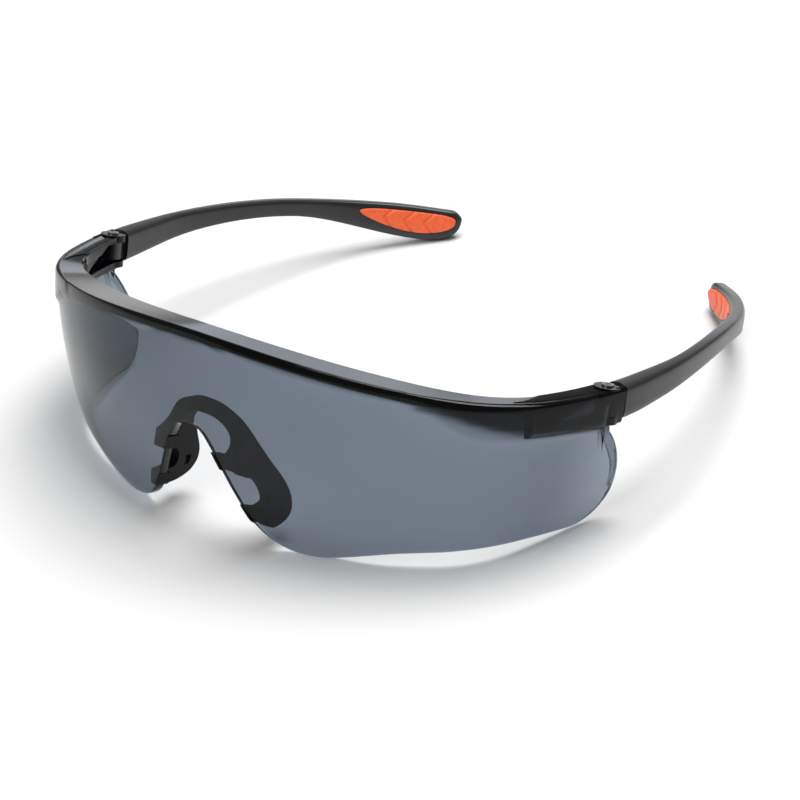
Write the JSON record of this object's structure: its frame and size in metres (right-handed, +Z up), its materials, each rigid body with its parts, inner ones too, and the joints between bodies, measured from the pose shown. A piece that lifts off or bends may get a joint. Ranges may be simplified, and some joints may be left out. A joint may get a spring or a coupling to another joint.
{
  "type": "safety glasses",
  "caption": "Wrap-around safety glasses with a smoke-tinted one-piece shield, folding temples, soft tip pads and a soft nose bridge.",
  "frame": {"origin": "centre of the bounding box on the floor, glasses standing open on the shield's lobes and the temple tips", "axes": "+Z up, +X to the wearer's left, +Y from the shield back towards the temple tips"},
  "size_m": [0.1488, 0.1375, 0.0476],
  "materials": {
    "smoke_polycarbonate": "glossy, smoke tint, see-through",
    "temple_polycarbonate": "satin-gloss, dark smoke, nearly opaque",
    "soft_black": "matte",
    "soft_orange": "satin",
    "screw_steel": "dull turned"
  },
  "bodies": {
    "front": {"lens_shield": "smoke_polycarbonate", "nose_bridge": "soft_black", "hinge_screw_left": "screw_steel", "hinge_screw_right": "screw_steel"},
    "left_temple": {"temple_left": "temple_polycarbonate", "temple_pad_left": "soft_orange"},
    "right_temple": {"temple_right": "temple_polycarbonate", "temple_pad_right": "soft_orange"}
  },
  "joints": [
    {"name": "left_fold", "type": "hinge", "parent": "front", "child": "left_temple", "pos_m": [0.07063, -0.02001, 0.02778], "axis": [0, 0.3285, 0.9445], "range_deg": [0, 88]},
    {"name": "right_fold", "type": "hinge", "parent": "front", "child": "right_temple", "pos_m": [-0.07063, -0.02001, 0.02778], "axis": [0, -0.3285, -0.9445], "range_deg": [0, 68]}
  ]
}
